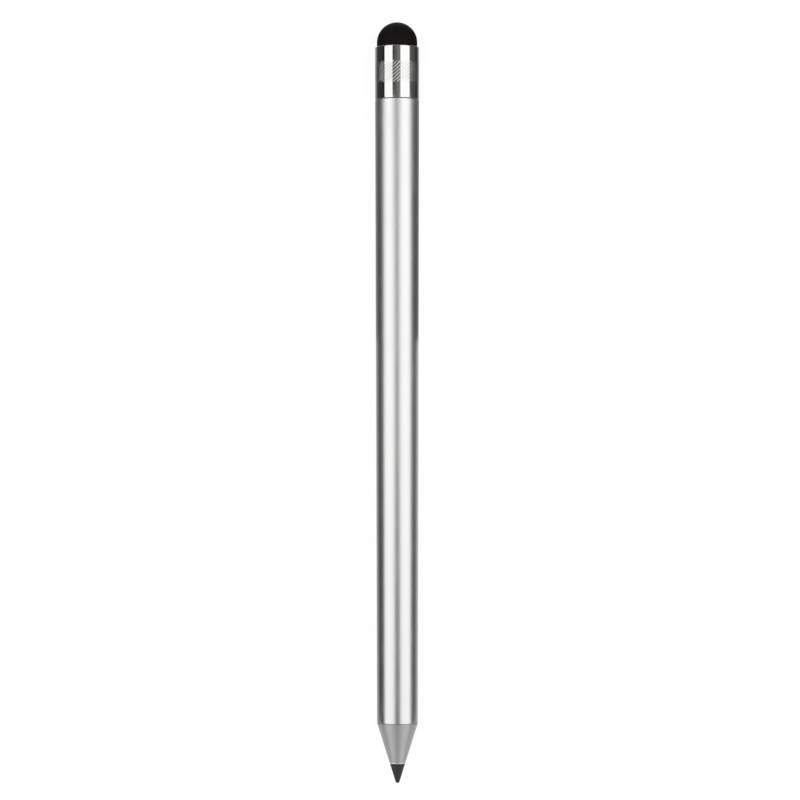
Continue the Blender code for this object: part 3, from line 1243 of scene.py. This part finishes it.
@dataclass(frozen=True)
class Nose:
    """The hard end: a blasted cone that screws in the barrel, and a nib held in a sleeve."""

    end: BarrelEnd
    cone_length: float = 7.55 * MM
    top_radius: float = 3.69 * MM
    top_land: float = 0.15 * MM
    top_edge: float = 0.03 * MM
    mouth_radius: float = 1.4 * MM
    lip: float = 0.17 * MM
    throat: float = 2.6 * MM
    sleeve_bore: float = 1.4 * MM
    sleeve_radius: float = 1.35 * MM
    sleeve_length: float = 8.0 * MM
    sleeve_edge: float = 0.06 * MM
    stem_bore: float = 0.95 * MM
    stem_radius: float = 0.92 * MM
    stem_length: float = 10.0 * MM
    stem_edge: float = 0.12 * MM
    nib_reach: float = 3.55 * MM
    nib_shoulder: float = 1.38 * MM
    nib_edge: float = 0.05 * MM
    nib_tip: float = 0.4 * MM
    nib_tip_steps: int = 12

    def build(self, shop: Workshop) -> list[Object]:
        """Build and dress the nose's three pieces."""
        return [self.cone(shop), self.sleeve(shop), self.nib(shop)]

    def cone(self, shop: Workshop) -> Object:
        """Build the cone, with its screwed shank and the bore for the nib's sleeve and stem.

        Args:
            shop: the shared tools.

        Returns:
            The placed cone.
        """
        at, seam = self.end.at, self.end.seam
        shank = shop.thread.shank(self.end)
        throat = self.cone_length - self.throat
        blank = shop.lathe.turn(
            [
                Corner(at(self.cone_length), self.stem_bore),
                Corner(at(self.cone_length), self.mouth_radius, self.lip),
                Corner(at(seam + self.top_land), self.top_radius, self.top_edge),
                Corner(at(seam), self.top_radius, self.top_edge),
                *shank,
                Corner(shank[-1].station, self.sleeve_bore),
                Corner(at(throat), self.sleeve_bore),
                Corner(at(throat), self.stem_bore),
            ],
            closed=True,
        )
        mesh = shop.threaded("blasted_cone", blank, shop.thread.raised_tooth(self.end), Cut.RAISED)
        cone = shop.place(mesh, BLASTED, "nose_cone", Body.NOSE_SHELL)
        mouth, lip = at(self.cone_length), at(self.cone_length - self.lip)
        mesh.materials.append(POLISHED_LIP.material(shop.effects, mouth, lip))
        for face in mesh.polygons:
            face.material_index = int(face.center.y < lip)
        return cone

    def sleeve(self, shop: Workshop) -> Object:
        """Build the moulded sleeve in the cone, which grips the nib's stem.

        Args:
            shop: the shared tools.

        Returns:
            The placed sleeve.
        """
        top = self.cone_length - self.throat - self.end.seam
        first, last = self.end.at(top), self.end.at(top - self.sleeve_length)
        work = shop.lathe.turn(
            [
                Corner(first, self.sleeve_radius, self.sleeve_edge),
                Corner(last, self.sleeve_radius, self.sleeve_edge),
                Corner(last, self.stem_bore, self.sleeve_edge),
                Corner(first, self.stem_bore, self.sleeve_edge),
            ],
            closed=True,
        )
        mesh = shop.lathe.finish(work, "stem_sleeve")
        return shop.place(mesh, WHITE_PLASTIC, "nib_sleeve", Body.NOSE_CORE)

    def nib(self, shop: Workshop) -> Object:
        """Build the hard point: a cone with a rounded tip, on a stem.

        Args:
            shop: the shared tools.

        Returns:
            The placed nib.
        """
        at = self.end.at
        seat = self.cone_length + self.end.seam
        stem_end = self.cone_length - self.stem_length
        centre = self.cone_length + self.nib_reach - self.nib_tip
        rise = centre - seat
        # The cone's side runs from the shoulder to where it just touches the round tip.
        slant = math.hypot(self.nib_shoulder, rise)
        slope = math.atan2(self.nib_shoulder, rise) - math.asin(self.nib_tip / slant)
        work = shop.lathe.turn(
            [
                *self.end.rounding(centre, self.nib_tip, QUARTER_TURN - slope, self.nib_tip_steps),
                Corner(at(seat), self.nib_shoulder, self.nib_edge),
                Corner(at(seat), self.stem_radius),
                Corner(at(stem_end), self.stem_radius, self.stem_edge),
                Corner(at(stem_end), 0.0),
            ],
            closed=False,
        )
        return shop.place(shop.lathe.finish(work, "hard_nib"), DARK_PLASTIC, "nib", Body.POINT)


# Studio


def empty_material(name: str) -> Material:
    """Make a material without nodes, whose glow is met by rays and not sampled as a lamp.

    Args:
        name: its name.

    Returns:
        A new material.
    """
    material = bpy.data.materials.new(name)
    material.use_nodes = True
    material.cycles.emission_sampling = "NONE"
    material.node_tree.nodes.clear()
    return material


def stage_sheet(place: Matrix, material: Material) -> Object:
    """Make a flat sheet of the stage, named as its material is.

    Args:
        place: what takes a level square of 1 m to the sheet's place.
        material: what it is made of.

    Returns:
        The sheet.
    """
    work = bmesh.new()
    work.loops.layers.uv.new("UVMap")
    bmesh.ops.create_grid(work, x_segments=1, y_segments=1, size=0.5, matrix=place, calc_uvs=True)
    mesh = bpy.data.meshes.new(material.name)
    work.to_mesh(mesh)
    work.free()
    mesh.materials.append(material)
    sheet = bpy.data.objects.new(material.name, mesh)
    bpy.context.scene.collection.objects.link(sheet)
    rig.stage(sheet)
    return sheet


@dataclass(frozen=True)
class StripLight:
    """A long soft light beside the camera, as the degrees from straight up that it covers."""

    name: str
    inner: float
    outer: float
    front: float
    rear: float
    radiance: float = 1.17
    distance: float = 0.35

    def build(self) -> None:
        """Make the light, facing the pen."""
        middle = math.radians((self.inner + self.outer) / 2)
        half_width = self.distance * math.tan(math.radians(abs(self.outer - self.inner)) / 2)
        light = bpy.data.lights.new(self.name, "AREA")
        light.shape = "RECTANGLE"
        light.size = 2 * half_width
        light.size_y = self.rear - self.front
        light.energy = self.radiance * math.pi * light.size * light.size_y
        lamp = bpy.data.objects.new(self.name, light)
        lamp.location = AXIS_POINT + self.distance * Vector((math.sin(middle), 0.0, math.cos(middle)))
        lamp.location.y += (self.front + self.rear) / 2
        lamp.rotation_euler = (0.0, middle, 0.0)
        lamp.visible_camera = False
        bpy.context.scene.collection.objects.link(lamp)


@dataclass(frozen=True)
class Fade:
    """A card's shade at both ends of its first side, and the part of it over which it changes."""

    first: float
    last: float
    start: float = 0.0
    stop: float = 1.0


BLACK = Fade(0.0, 0.0)


@dataclass(frozen=True)
class ReflectionCard:
    """A glowing card around the set that only reflections see, spread from one corner along two sides: a painted
    reflection of a dark or pale band in the metal.
    """

    name: str
    corner: Point
    across: Point
    along: Point
    fade: Fade

    def build(self) -> None:
        """Make the card."""
        across, along = Vector(self.across), Vector(self.along)
        place = Matrix((across, along, across.cross(along).normalized())).transposed().to_4x4()
        place.translation = Vector(self.corner) + (across + along) / 2
        card = stage_sheet(place, self.material())
        # Painted reflection: only glossy rays meet the card, and its glow lights nothing.
        for ray in ("camera", "diffuse", "shadow", "transmission", "volume_scatter"):
            setattr(card, "visible_" + ray, False)

    def material(self) -> Material:
        """Make the card's glow, a painted reflection whose strength stands for the card's shade in the studio's light.

        Returns:
            A new material.
        """
        material = empty_material(self.name)
        shading = Shading(material.node_tree)
        place = shading.feed(shading.add("SeparateXYZ"), Vector=shading.add("TexCoord").outputs["UV"])
        shade = shading.feed(shading.add("MapRange"), Value=place.outputs["X"])
        shading.feed(shade, From_Min=self.fade.start, From_Max=self.fade.stop)
        shading.feed(shade, To_Min=self.fade.first, To_Max=self.fade.last)
        glow = shading.feed(shading.add("Emission"), Strength=shade.outputs["Result"])
        shading.feed(shading.add("OutputMaterial"), Surface=glow.outputs["Emission"])
        return material


@dataclass(frozen=True)
class SideCards:
    """The glowing cards on one side of the pen, which paint its reflections: a flat row next to it, and a leaning row
    beyond.
    """

    name: str
    side: float
    rear: Fade
    front: Fade
    far: Fade
    far_mid: Fade
    far_rear: Fade
    far_rise: float
    far_rear_rise: float
    far_turn: float = 25.6 * MM
    inner: float = 4.1 * MM
    middle: float = 20.0 * MM
    outer: float = 250.0 * MM
    floor_gap: float = 0.3 * MM
    near_front: float = -60.0 * MM
    near_rear: float = 80.0 * MM
    far_front: float = -130.0 * MM
    join: float = 11.5 * MM
    rear_join: float = 57.0 * MM
    far_end: float = 957.0 * MM

    def cards(self) -> list[ReflectionCard]:
        """Lay the cards out.

        Returns:
            The two cards next to the pen, and the three beyond.
        """
        near = (self.side * (self.middle - self.inner), 0.0, 0.0)
        far = (self.side * (self.outer - self.middle), self.far_turn, self.far_rise)
        far_rear = (far[0], far[1], self.far_rear_rise)
        parts = (
            ("rear", self.inner, near, self.join, self.near_rear, self.rear),
            ("front", self.inner, near, self.join, self.near_front, self.front),
            ("far", self.middle, far, self.far_front, self.join, self.far),
            ("far_mid", self.middle, far, self.join, self.rear_join, self.far_mid),
            ("far_rear", self.middle, far_rear, self.rear_join, self.far_end, self.far_rear),
        )
        cards = []
        for part, edge, across, start, stop, fade in parts:
            corner = (self.side * edge, start, self.floor_gap)
            along = (0.0, stop - start, 0.0)
            cards.append(ReflectionCard(f"{self.name}_{part}", corner, across, along, fade))
        return cards


@dataclass(frozen=True)
class Studio:
    """The pale floor, the light, the glowing cards that paint reflections in the metal, and the camera."""

    floor_side: float = 8.0
    floor_colour: float = 0.8
    seen_glow: float = 0.795
    seen_colour: float = 0.27
    fill: float = 0.3
    lens: float = 121.5
    sensor: float = 36.0
    camera_height: float = 495.0 * MM
    camera_right: float = 0.49 * MM
    camera_up: float = 0.445 * MM
    camera_roll: float = math.radians(-0.035)
    lights: tuple[StripLight, ...] = (
        StripLight("left_front_strip", inner=-15.5, outer=-79.0, front=-0.55, rear=-0.03),
        StripLight("left_strip", inner=-12.0, outer=-79.0, front=-0.03, rear=0.096),
        StripLight("left_rear_strip", inner=-24.0, outer=-69.0, front=0.096, rear=0.55),
        StripLight("right_front_strip", inner=16.5, outer=81.0, front=-0.55, rear=-0.03),
        StripLight("right_strip", inner=9.0, outer=81.0, front=-0.03, rear=0.096),
        StripLight("right_rear_strip", inner=18.0, outer=73.0, front=0.096, rear=0.55),
    )
    # Painted reflections: glowing cards beside the pen that set the dark and pale bands along its metal.
    sides: tuple[SideCards, ...] = (
        SideCards(
            name="left",
            side=-1.0,
            rear=Fade(0.5, 0.04, stop=0.45),
            front=Fade(0.6, 0.04, start=0.05, stop=0.55),
            far=Fade(0.02, 0.01, stop=0.3),
            far_mid=BLACK,
            far_rear=Fade(0.035, 0.012, stop=0.3),
            far_rise=65.5 * MM,
            far_rear_rise=104.0 * MM,
        ),
        SideCards(
            name="right",
            side=1.0,
            rear=Fade(0.55, 0.035, stop=0.36),
            front=Fade(0.7, 0.05, start=0.1, stop=0.65),
            far=Fade(0.06, 0.09),
            far_mid=Fade(0.01, 0.02),
            far_rear=Fade(0.065, 0.115, stop=0.2),
            far_rise=59.0 * MM,
            far_rear_rise=104.5 * MM,
        ),
    )
    # Painted reflections: black sheets that hide the white surround in the metal, and glowing bands above the pen and
    # at its ends.
    surrounds: tuple[ReflectionCard, ...] = (
        ReflectionCard("left_wall", (-1.4, -0.5, 0.0), (0.0, 0.0, 0.76), (0.0, 1.5, 0.0), BLACK),
        ReflectionCard("right_wall", (1.4, -0.5, 0.0), (0.0, 0.0, 0.76), (0.0, 1.5, 0.0), BLACK),
        ReflectionCard("roof", (-1.4, -1.0, 0.76), (2.8, 0.0, 0.0), (0.0, 2.0, 0.0), BLACK),
        ReflectionCard("slot", (-0.29, -1.0, 0.75), (0.57, 0.0, 0.0), (0.0, 2.0, 0.0), Fade(0.05, 0.125)),
        ReflectionCard("slot_mid", (-0.31, 0.06, 0.745), (0.0, 0.065, 0.0), (0.57, 0.0, 0.0), Fade(0.09, 0.45)),
        ReflectionCard("slot_rear", (-0.31, 0.125, 0.745), (0.57, 0.0, 0.0), (0.0, 0.875, 0.0), Fade(0.045, 0.23)),
        ReflectionCard("rear_wall", (-1.4, 1.0, 0.0), (2.8, 0.0, 0.0), (0.0, 0.0, 0.75), Fade(0.06, 0.06)),
        ReflectionCard("front_wall", (-0.45, -1.0, 0.0), (0.9, 0.0, 0.0), (0.0, 0.0, 0.75), Fade(0.2, 0.2)),
    )

    def build(self) -> None:
        """Build the whole studio."""
        self.floor()
        self.world()
        side_cards = [card for side in self.sides for card in side.cards()]
        for item in (*self.lights, *side_cards, *self.surrounds):
            item.build()
        self.camera()
        bpy.context.scene.view_settings.view_transform = "Standard"

    @staticmethod
    def seen(shading: Shading) -> NodeSocket:
        """Make a mask of the rays that show the background: to the camera, in metal and in glass.

        Args:
            shading: the nodes that it goes with.

        Returns:
            1 for those rays, and 0 for the others.
        """
        path = shading.add("LightPath").outputs
        direct = shading.math("MAXIMUM", path["Is Camera Ray"], path["Is Glossy Ray"])
        return shading.math("MAXIMUM", direct, path["Is Transmission Ray"])

    def floor(self) -> None:
        """Make a pale floor that looks white and keeps the pen's shadow."""
        material = empty_material("floor")
        shading = Shading(material.node_tree)
        plain = shading.feed(shading.add("BsdfDiffuse"), Color=(self.floor_colour,) * 3 + (1.0,))
        lit = shading.feed(shading.add("BsdfDiffuse"), Color=(self.seen_colour,) * 3 + (1.0,))
        glow = shading.feed(shading.add("Emission"), Strength=self.seen_glow)
        bright = shading.add("AddShader")
        shading.connect(lit.outputs["BSDF"], bright.inputs[0])
        shading.connect(glow.outputs["Emission"], bright.inputs[1])
        choice = shading.add("MixShader")
        shading.connect(self.seen(shading), choice.inputs["Fac"])
        shading.connect(plain.outputs["BSDF"], choice.inputs[1])
        shading.connect(bright.outputs["Shader"], choice.inputs[2])
        shading.feed(shading.add("OutputMaterial"), Surface=choice.outputs["Shader"])
        stage_sheet(Matrix.Scale(self.floor_side, 4), material)

    def world(self) -> None:
        """Make a white surround that lights the pen only a little."""
        world = bpy.data.worlds.new("surround")
        world.use_nodes = True
        world.node_tree.nodes.clear()
        shading = Shading(world.node_tree)
        level = shading.add("MapRange")
        shading.feed(level, Value=self.seen(shading), To_Min=self.fill, To_Max=1.0)
        surround = shading.add("Background")
        shading.feed(surround, Color=(1.0, 1.0, 1.0, 1.0), Strength=level.outputs["Result"])
        shading.feed(shading.add("OutputWorld"), Surface=surround.outputs["Background"])
        bpy.context.scene.world = world

    def camera(self) -> None:
        """Put the camera straight above the pen's middle, with the dome at the top of the picture."""
        lens = bpy.data.cameras.new("camera")
        lens.lens = self.lens
        lens.sensor_width = self.sensor
        camera = bpy.data.objects.new("camera", lens)
        camera.location = (self.camera_right, self.camera_up, self.camera_height)
        camera.rotation_euler = (0.0, 0.0, self.camera_roll)
        bpy.context.scene.collection.objects.link(camera)
        bpy.context.scene.camera = camera


def main() -> None:
    """Build the pen's looks around its CAD model, then the studio, and note both boxes."""
    logging.basicConfig(level=logging.INFO, format="%(message)s")
    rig.load()
    cad_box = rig.bounds()
    low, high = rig.box("barrel_tube")
    front = BarrelEnd(low.y, -1.0)
    rear = BarrelEnd(high.y, 1.0)
    shop = Workshop(Lathe(), ScrewThread(), SurfaceEffects.make())
    for assembly in (Barrel(front, rear), Head(rear), Nose(front)):
        pieces = assembly.build(shop)
        LOG.info("%s: %s", type(assembly).__name__, ", ".join(piece.name for piece in pieces))
    Studio().build()
    boxes = {
        "cad": [list(corner) for corner in cad_box],
        "visual": [list(corner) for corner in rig.bounds()],
    }
    SIZE_FILE.write_text(json.dumps(boxes))


if __name__ == "__main__":
    main()
